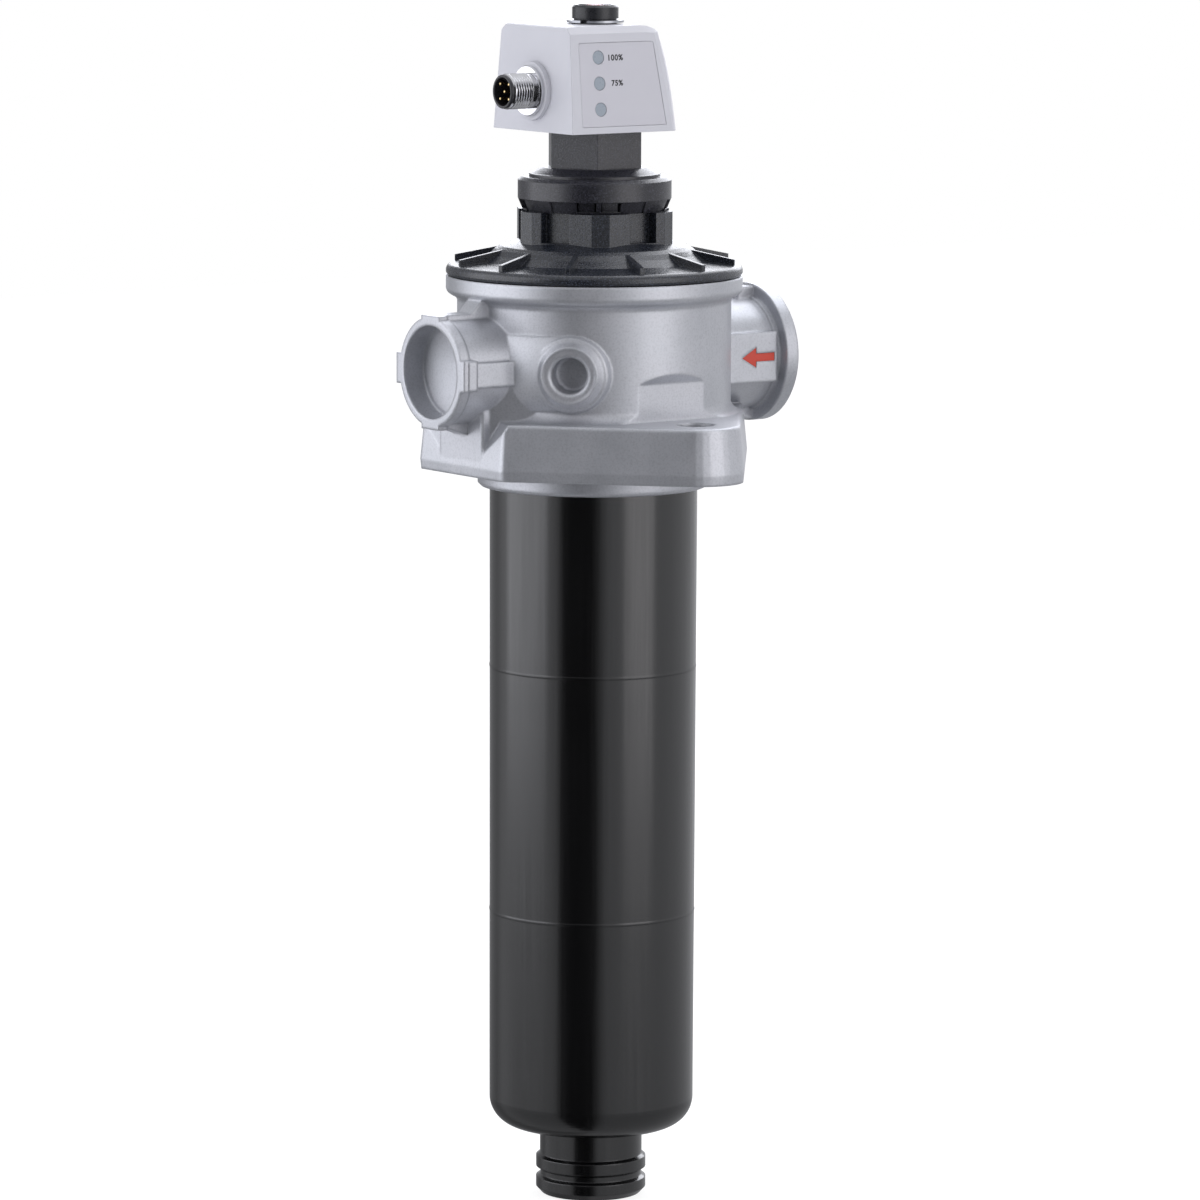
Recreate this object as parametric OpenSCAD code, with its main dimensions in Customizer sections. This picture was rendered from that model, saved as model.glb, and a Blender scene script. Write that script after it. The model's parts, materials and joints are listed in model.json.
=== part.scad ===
// Tank top return line filter with a clogging indicator.
// Millimetres. The origin is the centre of the flange's seating face,
// +Z points up out of the tank and the inlet port looks towards +X.

/* [Head] */
// distance between the two tank bolts
bolt_pitch = 115; // [114:0.5:118]
// diameter of the bolt holes
bolt_hole_d = 13; // [11:0.5:14]
// thickness of the flange
flange_h = 18.8; // [17.6:0.2:20]
// outside diameter of the head's barrel
barrel_d = 92; // [91:0.5:94]
// outside diameter of the rim and of the cover that closes it
rim_d = 99.5; // [99:0.5:102]
// height of the rim above the seating face
rim_top = 64.2; // [63.8:0.2:66]
// height of the port axis above the seating face
port_z = 35; // [34.6:0.2:35.6]
// diameter of the port bores
port_bore_d = 30.3; // [28:0.1:30.9]
// reach of the inlet face from the middle
inlet_reach = 69; // [68:0.5:72]
// reach of the blanked port's face from the middle
blank_reach = 66.5; // [66:0.5:69]
// diameter of the blind hole in the gauge boss
boss_hole_d = 12; // [9:0.5:13]

/* [Bowl] */
// outside diameter of the bowl
bowl_d = 70; // [68:0.5:70.5]
// wall thickness of the bowl
bowl_wall = 2.5; // [2:0.1:3]
// depth of the bowl's flat bottom below the seating face
bowl_depth = 225.5; // [180:5:300]
// diameter of the outlet neck
neck_d = 34.7; // [34:0.1:35.4]
// diameter of the beads on the outlet neck
bead_d = 37.3; // [36.8:0.1:38.4]

/* [Element] */
// number of pleats of the filter media
pleat_count = 36; // [24:1:40]
// travel of the bypass valve
bypass_travel = 5; // [3:0.5:6]

/* [Cover] */
// distance across the flats of the cover's drive hexagon
drive_af = 50.4; // [49:0.2:51.4]
// height of the drive hexagon
drive_h = 10; // [9:0.5:11]
// thickness of the grip fins
fin_t = 1.6; // [1.2:0.1:2.2]
// angle at which the cover has come to rest
cover_turn = -1.2; // [-30:0.2:30]

/* [Indicator] */
// distance across the flats of the adapter's hexagon
hex_af = 30; // [27:0.5:32]
// diameter of the adapter's slotted ring
ring_d = 51.5; // [50:0.5:52]
// diameter of the spindle that carries the switch box
spindle_d = 14.4; // [14:0.1:15]
// angle at which the adapter has come to rest
adapter_turn = -2.4; // [-30:0.2:30]
// height of the switch box
box_h = 35.1; // [34:0.2:38]
// depth of the switch box at its bottom, front to back
box_d = 45.8; // [45:0.2:48]
// diameter of the plug connector's thread
plug_d = 12; // [11:0.5:12.5]
// travel of the indicator piston
pop_travel = 1.8; // [1.6:0.1:2.4]
// diameter of the light windows
led_d = 4.6; // [3:0.2:6]
// width of the circuit board
board_w = 28.5; // [26:0.5:29]
// height of the circuit board
board_h = 25.5; // [24:0.5:27]
// length of the reed switches' glass
reed_l = 13; // [10:0.5:14]

/* [Hidden] */
$fn = 72;
e = 0.01;

// head
barrel_r = barrel_d / 2;
rim_r = rim_d / 2;
chamber_r = barrel_r - 6;
cover_bore_r = chamber_r + 2;
port_r = port_bore_d / 2;
cored_r = port_r - 0.65;
recess_r = port_r + 0.35;
bolt_y = bolt_pitch / 2;
lug_r = 16.3;
west_x = -54.5;
east_x = 55.5;
ledge_z = 6;
spigot_r = barrel_r - 7;
spigot_h = 6.5;
rim_step_z = rim_top - 14.2;
tank_groove_r = barrel_r - 3.7;
boss_turn = -135;
boss_reach = barrel_r + 4.5;
inlet_disc_t = 5.3;
pad_y = 20;
arrow_deep = 0.6;

// bowl
bowl_r = bowl_d / 2;
bowl_r2 = bowl_r - 0.4;
collar_r = chamber_r - 0.3;
collar_h = 6;
neck_r = neck_d / 2;
bead_r = bead_d / 2;
neck_bore_r = neck_r - 3.35;
nipple_r = neck_bore_r + 2;
floor_z = bowl_wall - bowl_depth;

// element
cap_r = bowl_r2 - bowl_wall - 3.1;
shoulder_z = floor_z + 5;
bottom_cap_h = 8;
media_z = shoulder_z + bottom_cap_h;
media_top = 22;
media_or = cap_r - 1.5;
media_ir = nipple_r + 2.6;
core_ir = nipple_r + 1;
core_or = nipple_r + 2.3;
top_cap_h = 5;
seat_r = 10;
poppet_r = 12;
cage_r = 15;
cage_base = 2.5;
poppet_top = media_top - 0.1;
poppet_bottom = poppet_top - 3.7;
stem_r = 2.5;
stem_end = -3 - bypass_travel;

// cover
cover_rest = rim_top + 0.3;
skirt_r = cover_bore_r - 0.3;
skirt_h = 12.2;
dome_top = rim_top + 12;
drive_top = dome_top + drive_h;
drive_ap = drive_af / 2;
corner_w = 6;
corner_ap = drive_af * 0.5437;
stem_bore_r = 12.05;
adapter_stem_r = 12;

// adapter, heights counted from the top of the drive hexagon
ring_r = ring_d / 2;
ring_z = drive_top + 4;
ring_top = ring_z + 7.1;
hex_z = ring_z + 10.2;
hex_top = drive_top + 26.6;
spindle_r = spindle_d / 2;
spindle_bore_r = spindle_r - 1.8;
piston_r = 6.4;
piston_bore_r = 6.5;
piston_z = rim_top - 2;
piston_top = drive_top - 2.2;
spring_top = drive_top + 11.8;
rod_r = 1.9;

// switch box
box_z = hex_top + 0.3;
box_top = box_z + box_h;
box_y = box_d / 2;
lean = 5.56;
box_wall = 2.2;
west_b = -25.3;
east_b = 16.7;
edge_r = 4;
plug_z = box_z + 13.5;
plug_r = plug_d / 2;
plug_neck_r = plug_r - 0.25;
plug_end = 37.8;
pin_r = 0.5;
spindle_top = box_top + 1.7;
cap_top = spindle_top + 4.5;
clip_t = 0.8;
window_r = 6.6;
window_h = pop_travel + 0.1;
window_t = 0.5;
led_r = led_d / 2;
board_x = -20;
board_t = 1.6;
board_y = 6 - box_y;
board_z = box_z + 4;
button_r = 4.8;
button_top = cap_top - 0.7;

module moved(z) {
  translate([0, 0, z])
    children();
}

// torus around Z
module ring(centre_r, wire_r, z) {
  translate([0, 0, z])
    rotate_extrude()
      translate([centre_r, 0])
        circle(r = wire_r, $fn = 32);
}

// local Z along -X
module towards_west(z) {
  translate([0, 0, z])
    rotate([0, -90, 0])
      children();
}

// local Z along +X
module towards_east(z) {
  translate([0, 0, z])
    rotate([0, 90, 0])
      children();
}

// local Z along the gauge boss
module towards_boss() {
  translate([0, 0, port_z])
    rotate([0, 0, boss_turn])
      rotate([0, 90, 0])
        children();
}

// XZ outline drawn out along Y, centred on y
module slab_y(width, y = 0) {
  translate([0, y + width / 2, 0])
    rotate([90, 0, 0])
      linear_extrude(width)
        children();
}

// YZ outline drawn out along +X from x0 to x1
module slab_x(x0, x1) {
  translate([x0, 0, 0])
    rotate([90, 0, 90])
      linear_extrude(x1 - x0)
        children();
}

// corner of the flange: draft below and above the parting line, rounded top edge
module flange_corner(x, y, r) {
  translate([x, y, 0]) {
    cylinder(h = 3.4, r1 = r - 0.35, r2 = r, $fn = 40);
    moved(3.4)
      cylinder(h = flange_h - 4.4, r1 = r, r2 = r - 1.45, $fn = 40);
    moved(flange_h - 1)
      cylinder(h = 0.65, r1 = r - 1.45, r2 = r - 1.7, $fn = 40);
    moved(flange_h - 0.35)
      cylinder(h = 0.35, r1 = r - 1.7, r2 = r - 2.2, $fn = 40);
  }
}

module flange_body() {
  hull()
    for (side = [-1, 1]) {
      flange_corner(0, side * bolt_y, lug_r);
      flange_corner(west_x + 3, side * 22.5, 3);
      flange_corner(east_x - 3, side * 11, 3);
    }
}

// slope that cuts the two shoulders beside the blanked port's web and runs out at the corners
module shoulder_cut() {
  for (side = [-1, 1])
    translate([west_x, side * 11.2, 0])
      rotate([0, 0, side * 21])
        mirror([0, side > 0 ? 0 : 1, 0])
          translate([0, 30, 0])
            rotate([90, 0, 0])
              linear_extrude(30)
                polygon([
                  [-6, -4], [0.2, 6.85], [7.46, flange_h + 0.8],
                  [7.46, flange_h + 8], [-6, flange_h + 8]
                ]);
}

// barrel with its rim lip, turned outline
module barrel_outline() {
  lip = rim_r - barrel_r;
  lip_r = min(2.4, lip - 1.3);
  lip_z = rim_top - 4;
  translate([0, 1])
    square([barrel_r, rim_top - 1]);
  translate([barrel_r - 1, lip_z])
    square([lip + 1, rim_top - lip_z]);
  translate([rim_r - lip_r, lip_z])
    circle(r = lip_r + 0.02);
  difference() {
    translate([barrel_r - 1, lip_z - 4.9])
      square([3, 3.2]);
    translate([barrel_r + 2.45, lip_z - 4.9])
      circle(r = 2.5);
  }
}

module base_fillet() {
  rotate_extrude()
    difference() {
      translate([barrel_r - 2, flange_h - 1])
        square([6.4, 5.3]);
      translate([barrel_r + 4.4, flange_h + 4.3])
        circle(r = 4.5);
    }
}

// flats above the two bolt holes, with a sloped upper end
module bolt_flat_cut() {
  for (side = [0, 1])
    mirror([0, side, 0])
      slab_x(-30, 30)
        polygon([
          [barrel_r - 2, flange_h - 0.5], [barrel_r - 2, flange_h + 12.7],
          [barrel_r + 1, flange_h + 17.2], [barrel_r + 16, flange_h + 17.2],
          [barrel_r + 16, flange_h - 0.5]
        ]);
}

module spigot() {
  rotate_extrude()
    polygon([
      [0, -spigot_h], [spigot_r - 1, -spigot_h], [spigot_r, 1 - spigot_h], [spigot_r, 1], [0, 1]
    ]);
}

// blanked port: barrel, mouth ring, four lobes, side ribs and top rib
module blank_port_body() {
  tube_r = port_r + 2.45;
  mouth_r = port_r + 3.15;
  towards_west(port_z)
    rotate_extrude()
      polygon([
        [0, 20], [tube_r, 20], [tube_r, blank_reach - 4], [mouth_r, blank_reach - 4],
        [mouth_r, blank_reach - 0.4], [mouth_r - 0.4, blank_reach], [0, blank_reach]
      ]);
  // lobes left and right
  translate([-blank_reach, -port_r - 4.65, port_z - 5.1])
    cube([5.5, 2 * port_r + 9.3, 10.2]);
  // raised step on these lobes
  translate([-blank_reach + 1.9, -port_r - 5, port_z - 4.7])
    cube([3.3, 2 * port_r + 10, 9.4]);
  // ribs along both sides
  translate([-blank_reach + 1, -port_r - 3.6, port_z - 4.1])
    cube([blank_reach - barrel_r + 4, 2 * port_r + 7.2, 8.2]);
  // lobe below
  translate([-blank_reach, -5, port_z - port_r - 3.85])
    cube([3.9, 10, 8]);
  // rib behind the lower lobe
  slab_y(8.4)
    polygon([
      [-blank_reach + 3.8, port_z - 10], [-blank_reach + 3.8, port_z - port_r - 3.25],
      [west_x, port_z - port_r - 6], [west_x + 1, port_z - 10]
    ]);
  // lobe above
  translate([-blank_reach, -5.2, port_z + port_r - 4.5])
    cube([3.6, 10.4, 8]);
  // top rib with its step up to the rim
  slab_y(8)
    polygon([
      [-blank_reach + 2.9, port_z + 10],
      [-blank_reach + 2.9, port_z + port_r + 3.4],
      [-blank_reach + 3.7, port_z + port_r + 3.75],
      [-barrel_r - 7, port_z + port_r + 3.75],
      [-barrel_r - 1.6, rim_top - 5],
      [-barrel_r + 4, rim_top - 5],
      [-barrel_r + 4, port_z + 10]
    ]);
}

// web that carries the blanked port and spreads out towards the barrel
module port_web() {
  half_w = 12.6;
  spread = 24.6;
  moved(2)
    linear_extrude(port_z - 6)
      polygon([
        [west_x + 0.2, 0.8 - half_w], [west_x + 1, -half_w], [west_x + 2.9, -half_w],
        [8 - barrel_r, -spread], [20 - barrel_r, 0], [8 - barrel_r, spread],
        [west_x + 2.9, half_w], [west_x + 1, half_w], [west_x + 0.2, half_w - 0.8]
      ]);
}

module inlet_body() {
  tube_r = port_r + 3.85;
  disc_r = port_r + 8.35;
  disc_x = inlet_reach - inlet_disc_t;
  towards_east(port_z)
    rotate_extrude()
      polygon([
        [0, 20], [tube_r, 20], [tube_r, disc_x - 1.8], [tube_r + 0.7, disc_x - 1.8],
        [tube_r + 0.7, disc_x], [disc_r, disc_x], [disc_r, inlet_reach - 0.7],
        [disc_r - 0.7, inlet_reach], [0, inlet_reach]
      ]);
  // ribs above and below
  for (side = [-1, 1])
    translate([disc_x - 6.5, -4.2, port_z + side * (tube_r + 1) - 2.6])
      cube([7.5, 8.4, 5.2]);
  // pad for the flow arrow
  translate([barrel_r - 6, -pad_y, port_z - 8.5])
    cube([disc_x - barrel_r + 4.4, 12, 17]);
}

// arrow outline on the pad, x towards the inlet face, pointing at the barrel
module arrow_outline(grow = 0) {
  disc_x = inlet_reach - inlet_disc_t;
  polygon([
    [disc_x - 16.4 - grow, 0],
    [disc_x - 10.5 + grow, 3.4 + grow * 1.6],
    [disc_x - 10.5 + grow, 1.36 + grow],
    [disc_x - 2.8 + grow, 1.36 + grow],
    [disc_x - 2.8 + grow, -1.36 - grow],
    [disc_x - 10.5 + grow, -1.36 - grow],
    [disc_x - 10.5 + grow, -3.4 - grow * 1.6]
  ]);
}

module gauge_boss_body() {
  towards_boss()
    rotate_extrude()
      polygon([
        [0, 20], [13.3, 20], [13.3, boss_reach - 6.5], [12.5, boss_reach - 3.2],
        [11.9, boss_reach - 2.7], [11.2, boss_reach - 2.6], [9.9, boss_reach - 0.9],
        [9.6, boss_reach - 0.3], [9.3, boss_reach], [0, boss_reach]
      ]);
  // cored bulge between the boss and the blanked port
  bulge_h = 24.8;
  moved(port_z)
    rotate([0, 0, boss_turn - 30])
      rotate_extrude(angle = 30)
        intersection() {
          translate([barrel_r - 22.4, 0])
            circle(r = 26);
          translate([barrel_r - 12, -bulge_h / 2])
            square([20, bulge_h]);
        }
}

module gauge_boss_hole() {
  hole_r = boss_hole_d / 2;
  deep = 8.2;
  towards_boss()
    rotate_extrude()
      polygon([
        [0, boss_reach - deep - 0.8], [hole_r - 0.8, boss_reach - deep - 0.8],
        [hole_r, boss_reach - deep], [hole_r, boss_reach - 1.05],
        [hole_r + 0.8, boss_reach - 0.25], [8.8, boss_reach - 0.25],
        [8.8, boss_reach + 1], [0, boss_reach + 1]
      ]);
}

module chamber_cut() {
  rotate_extrude()
    polygon([
      [0, -spigot_h - 1], [bowl_r + 0.4, -spigot_h - 1],
      [bowl_r + 0.4, ledge_z], [chamber_r, ledge_z],
      [chamber_r, rim_step_z], [cover_bore_r, rim_step_z + 1.2],
      [cover_bore_r, rim_top - 1.4], [cover_bore_r + 1, rim_top - 0.4],
      [cover_bore_r + 1, rim_top + 1], [0, rim_top + 1]
    ]);
}

module filter_head() {
  color("#b4b8c0")
    difference() {
      union() {
        difference() {
          union() {
            flange_body();
            base_fillet();
          }
          shoulder_cut();
          bolt_fillet_cut();
        }
        difference() {
          rotate_extrude()
            barrel_outline();
          bolt_flat_cut();
        }
        spigot();
        blank_port_body();
        port_web();
        inlet_body();
        gauge_boss_body();
      }
      chamber_cut();
      // bolt holes
      for (side = [-1, 1])
        translate([0, side * bolt_y, -1])
          cylinder(h = flange_h + 2, r = bolt_hole_d / 2);
      // seal groove in the seating face
      moved(-1)
        difference() {
          cylinder(h = 3.4, r = tank_groove_r + 1.8);
          moved(-1)
            cylinder(h = 5.4, r = tank_groove_r - 1.8);
        }
      // inlet bore with its countersink
      towards_east(port_z)
        rotate_extrude()
          polygon([
            [0, 20], [port_r, 20], [port_r, inlet_reach - 1], [port_r + 1, inlet_reach],
            [port_r + 1, inlet_reach + 1], [0, inlet_reach + 1]
          ]);
      // cored pocket behind the blanked port
      towards_west(port_z)
        moved(20)
          cylinder(h = blank_reach - 32, r = cored_r);
      // recess in the blanked port with a dished floor
      towards_west(port_z)
        difference() {
          moved(blank_reach - 9.4)
            cylinder(h = 12, r = recess_r);
          difference() {
            moved(blank_reach - 10.4)
              cylinder(h = 2.6, r = recess_r + 1);
            moved(blank_reach + 51)
              sphere(r = 60.4, $fn = 120);
          }
        }
      gauge_boss_hole();
      // arrow recess
      slab_y(arrow_deep + 2, -pad_y - 1 + arrow_deep / 2)
        translate([0, port_z])
          arrow_outline(0.06);
    }
}

// the flats also cut the fillet at the barrel's foot
module bolt_fillet_cut() {
  for (side = [0, 1])
    mirror([0, side, 0])
      translate([-30, barrel_r - 2, flange_h])
        cube([60, 20, 20]);
}

module flow_arrow() {
  color("#c8402f")
    slab_y(0.4, -pad_y + arrow_deep - 0.2)
      translate([0, port_z])
        arrow_outline(0);
}

module tank_seal() {
  color("#202124")
    ring(tank_groove_r, 1.45, 0.9);
}

module bowl_outline() {
  foot_r = 10;
  difference() {
    union() {
      polygon([
        [0, ledge_z + collar_h],
        [collar_r - 0.5, ledge_z + collar_h], [collar_r, ledge_z + collar_h - 0.5],
        [collar_r, ledge_z], [bowl_r, ledge_z],
        [bowl_r - 0.12, -67.2], [bowl_r, -67.45], [bowl_r, -67.95], [bowl_r - 0.12, -68.2],
        [bowl_r - 0.27, -150.6], [bowl_r - 0.15, -150.85], [bowl_r - 0.15, -151.35],
        [bowl_r - 0.27, -151.6],
        for (a = [0 : 6 : 90])
          [bowl_r2 - foot_r + foot_r * cos(a), foot_r - bowl_depth - foot_r * sin(a)],
        [0, -bowl_depth]
      ]);
      neck_outline();
    }
    // inside
    polygon([
      [nipple_r, floor_z + 5], [nipple_r + 3, floor_z + 5], [nipple_r + 3, floor_z],
      [bowl_r2 - bowl_wall - 5, floor_z], [bowl_r2 - bowl_wall, floor_z + 5],
      [bowl_r - bowl_wall, ledge_z], [bowl_r - bowl_wall + 1, ledge_z + collar_h + 1],
      [-1, ledge_z + collar_h + 1], [-1, floor_z + 17], [nipple_r - 0.5, floor_z + 17],
      [nipple_r, floor_z + 16.5]
    ]);
    // outlet bore
    translate([-1, -bowl_depth - 30])
      square([neck_bore_r + 1, 60]);
    // seal groove in the collar
    translate([collar_r - 2.35, ledge_z + 1.5])
      square([4, 2.9]);
  }
}

// outlet neck with two beads, z counted down from the flat bottom
module neck_outline() {
  b = -bowl_depth;
  polygon([
    [0, b + 1], [neck_r + 0.8, b + 1], [neck_r + 0.8, b], [neck_r, b - 0.8],
    [neck_r, b - 10], [bead_r, b - 10.9], [bead_r, b - 14.6], [neck_r - 0.15, b - 15.5],
    [neck_r - 0.15, b - 17.3], [bead_r, b - 18.1], [bead_r, b - 21.5],
    [bead_r - 1.85, b - 23.5], [0, b - 23.5]
  ]);
}

module filter_bowl() {
  color("#1d1e21")
    rotate_extrude()
      bowl_outline();
}

module bowl_seal() {
  color("#202124")
    ring(collar_r - 1.05, 1.25, ledge_z + 2.95);
}

module element_bottom_cap() {
  color("#d8d4c8")
    rotate_extrude()
      difference() {
        translate([nipple_r + 0.4, shoulder_z])
          square([cap_r - nipple_r - 0.4, bottom_cap_h + 5]);
        translate([core_ir - 0.2, media_z])
          square([cap_r - 1.1 - core_ir + 0.2, 10]);
        translate([nipple_r - 1, media_z])
          square([2, 10]);
        translate([nipple_r - 1, shoulder_z + 2.6])
          square([3.6, 2.8]);
      }
}

module element_seal() {
  color("#202124")
    ring(nipple_r + 1.32, 1.22, shoulder_z + 4);
}

// closed zigzag band, every pleat has two walls
module pleat_star(tip_r, root_r, tip_a, root_a) {
  step = 360 / pleat_count;
  polygon([
    for (i = [0 : pleat_count - 1])
      for (p = [
        [tip_r, -tip_a], [tip_r, tip_a],
        [root_r, 0.5 - root_a], [root_r, 0.5 + root_a]
      ])
        [p[0] * cos((i + p[1]) * step), p[0] * sin((i + p[1]) * step)]
  ]);
}

module pleated_media() {
  color("#e9e4d4")
    moved(media_z)
      linear_extrude(media_top - media_z)
        difference() {
          pleat_star(media_or, media_ir + 1.1, 0.19, 0.03);
          pleat_star(media_or - 1.1, media_ir, 0.03, 0.19);
        }
}

module support_core() {
  h = media_top - media_z;
  rings = 12;
  color("#9a9ca0") {
    for (i = [0 : rings])
      moved(media_z + i * (h - 2.4) / rings)
        difference() {
          cylinder(h = 2.4, r = core_or);
          moved(-1)
            cylinder(h = 5, r = core_ir);
        }
    for (i = [0 : 7])
      rotate([0, 0, 45 * i])
        translate([core_ir + 0.1, -1.2, media_z])
          cube([core_or - core_ir - 0.3, 2.4, h]);
  }
}

module element_top_cap() {
  color("#d8d4c8") {
    rotate_extrude()
      difference() {
        translate([seat_r, media_top - 5])
          square([cap_r - seat_r, 5 + top_cap_h]);
        translate([0, media_top - 6])
          square([cap_r - 1.1, 6]);
        translate([cap_r - 1.2, media_top + top_cap_h - 1.2])
          rotate(45)
            square(4);
      }
    // rigid grip moulded on top
    translate([0, 0, media_top + top_cap_h - 0.2])
      rotate([90, 0, 0])
        rotate_extrude(angle = 180)
          translate([13, 0])
            circle(r = 2.2, $fn = 32);
  }
}

module bypass_cage() {
  color("#9a9ca0") {
    moved(media_top - 3)
      difference() {
        cylinder(h = 3, r = cage_r);
        moved(-1)
          cylinder(h = 5, r = poppet_r + 1);
      }
    difference() {
      union() {
        cylinder(h = cage_base, r = cage_r);
        moved(-5)
          cylinder(h = 6, r = stem_r + 2.5);
      }
      moved(-6)
        cylinder(h = 12, r = stem_r + 0.08);
    }
    for (i = [0 : 3])
      rotate([0, 0, 45 + 90 * i])
        translate([poppet_r + 1.1, -2, 1])
          cube([1.6, 4, media_top - 3]);
  }
}

module bypass_poppet() {
  color("#c9a24a") {
    moved(poppet_bottom)
      cylinder(h = poppet_top - poppet_bottom, r = poppet_r);
    moved(stem_end)
      cylinder(h = poppet_bottom + 1 - stem_end, r = stem_r);
  }
}

// compression spring with closed ends, from z0 to z1
module coil_spring(mean_r, wire_r, z0, z1, turns) {
  per_turn = 20;
  sides = 8;
  steps = turns * per_turn;
  pitch = wire_r * 2.12;
  free = (z1 - z0 - 2 * wire_r - 2 * pitch) / (turns - 2);
  function rise(t) =
    t < 1 ? t * pitch : t < turns - 1 ? pitch + (t - 1) * free : pitch + (turns - 2) * free
      + (t - turns + 1) * pitch;
  points = [
    for (i = [0 : steps])
      for (j = [0 : sides - 1])
        let (
          t = i / per_turn,
          c = mean_r + wire_r * cos(360 * j / sides),
          z = z0 + wire_r + rise(t) + wire_r * sin(360 * j / sides)
        )
          [c * cos(360 * t), c * sin(360 * t), z]
  ];
  walls = [
    for (i = [0 : steps - 1])
      for (j = [0 : sides - 1])
        let (
          a = i * sides + j,
          b = i * sides + (j + 1) % sides,
          c = b + sides,
          d = a + sides
        )
          each [[a, b, c], [a, c, d]]
  ];
  ends = [
    [for (j = [sides - 1 : -1 : 0]) j],
    [for (j = [0 : sides - 1]) steps * sides + j]
  ];
  polyhedron(points = points, faces = concat(walls, ends));
}

module bypass_spring() {
  color("#8d9096")
    coil_spring(8.6, 0.8, cage_base, poppet_bottom, 5);
}

module cover_outline() {
  t = dome_top;
  difference() {
    union() {
      polygon([
        [0, rim_top - 2], [0, t], [drive_ap, t], [31.5, t - 2], [33.2, t - 3.1],
        [34.8, t - 4.7], [38, t - 6.9], [rim_r - 2.3, t - 8],
        [rim_r - 2.3, t - 10], [rim_r - 1.2, cover_rest], [skirt_r, cover_rest],
        [skirt_r, rim_top - 2]
      ]);
      translate([rim_r - 2.3, t - 10.3])
        circle(r = 2.3);
      translate([rim_r - 5, cover_rest + 0.8])
        square([5, 0.9]);
      polygon([
        [rim_r - 5, cover_rest], [rim_r - 1, cover_rest], [rim_r, cover_rest + 0.8 + e],
        [rim_r - 5, cover_rest + 1]
      ]);
      // skirt
      polygon([
        [skirt_r - 4.5, rim_top - skirt_h], [skirt_r - 1, rim_top - skirt_h],
        [skirt_r, rim_top - skirt_h + 1], [skirt_r, cover_rest + 0.5],
        [skirt_r - 4.5, cover_rest + 0.5]
      ]);
    }
    // seal groove
    translate([skirt_r - 2.8, rim_top - 9])
      square([4, 3.6]);
    // hollow under the drive
    translate([17, rim_top - 3])
      square([6, 9]);
    translate([22, rim_top - 3])
      square([11, 4]);
    // room left for the stem
    translate([-1, rim_top - 4])
      square([stem_bore_r + 1, 20]);
    // trim the underside to a plane
    translate([-1, rim_top - 4])
      square([skirt_r - 4.5 + 1, 2.4]);
    // everything outside the rim below the split line
    translate([skirt_r + e, rim_top - 20])
      square([20, 20.3]);
  }
}

module drive_body() {
  moved(dome_top - 1)
    linear_extrude(drive_h + 1)
      polygon([
        for (i = [0 : 5])
          for (s = [-1, 1])
            let (a = 60 * i + s * atan(corner_w / 2 / corner_ap), r = norm([corner_ap, corner_w / 2]))
              [r * cos(a), r * sin(a)]
      ]);
}

module grip_fin() {
  slab_y(fin_t)
    polygon([
      [28, rim_top + 3], [28, dome_top - 3], [32, dome_top - 2.45], [33.2, dome_top - 3],
      [rim_r - 2.15, dome_top - 6], [rim_r - 2.15, rim_top + 3]
    ]);
}

module screw_cover() {
  notch_w = 10.4;
  notch_deep = 4.1;
  color("#34363b")
    rotate([0, 0, cover_turn])
      difference() {
        union() {
          rotate_extrude()
            cover_outline();
          drive_body();
          for (i = [0 : 11])
            rotate([0, 0, 15 + 30 * i])
              grip_fin();
        }
        // notches in the six sides, in pairs round every second corner
        for (i = [0 : 5])
          rotate([0, 0, 30 + 60 * i])
            translate([drive_ap - notch_deep, (i % 2 == 0 ? 2.35 : -2.35) - notch_w / 2, dome_top])
              cube([notch_deep + 3, notch_w, drive_h + 1]);
        moved(rim_top - 5)
          cylinder(h = 40, r = stem_bore_r);
      }
}

module cover_seal() {
  color("#202124")
    ring(cover_bore_r - 1.55, 1.5, rim_top - 7.2);
}

module adapter_outline() {
  difference() {
    union() {
      // stem
      translate([0, rim_top - 4.2])
        square([adapter_stem_r, drive_top - rim_top + 5]);
      // slotted skirt, a cone
      polygon([
        [ring_r - 3.85, drive_top], [ring_r - 1.65, drive_top], [ring_r, ring_z + e],
        [ring_r - 2.2, ring_z + e]
      ]);
      // plate, ring and steps
      polygon([
        [0, drive_top + 0.5], [adapter_stem_r, drive_top + 0.5], [adapter_stem_r, ring_z],
        [ring_r, ring_z], [ring_r, ring_z + 6], [ring_r - 1.55, ring_top],
        [22, ring_top], [22, ring_top + 1], [21.2, ring_top + 1.2],
        [hex_af / 2 + 2.6, hex_z], [0, hex_z]
      ]);
    }
    // seal groove
    translate([adapter_stem_r - 2.05, drive_top - 5.2])
      square([3, 2.4]);
    // hollow under the plate keeps the wall even
    translate([adapter_stem_r + 2, ring_z - 1])
      square([6.5, 5]);
  }
}

module adapter_hexagon() {
  moved(hex_z - 1)
    cylinder(h = hex_top - hex_z + 1, r = hex_af / 2 / cos(30), $fn = 6);
}

// in the skirt, on both sides of four narrow struts: a window, then a recessed panel
// that ends at a wide strut
module skirt_windows() {
  window_from = 1.9;
  window_upto = 17.6;
  panel_upto = 38.7;
  for (i = [0 : 3])
    for (s = [0, 1])
      rotate([0, 0, -120 + 90 * i])
        mirror([0, s, 0]) {
          rotate([0, 0, window_from])
            rotate_extrude(angle = window_upto - window_from)
              translate([ring_r - 4.6, drive_top + 0.7])
                square([6, 3.1]);
          rotate([0, 0, window_upto])
            rotate_extrude(angle = panel_upto - window_upto)
              polygon([
                [ring_r - 2.66, drive_top - 1], [ring_r - 0.68, ring_z - 0.2],
                [ring_r + 1, ring_z - 0.2], [ring_r + 1, drive_top - 1]
              ]);
        }
}

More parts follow.
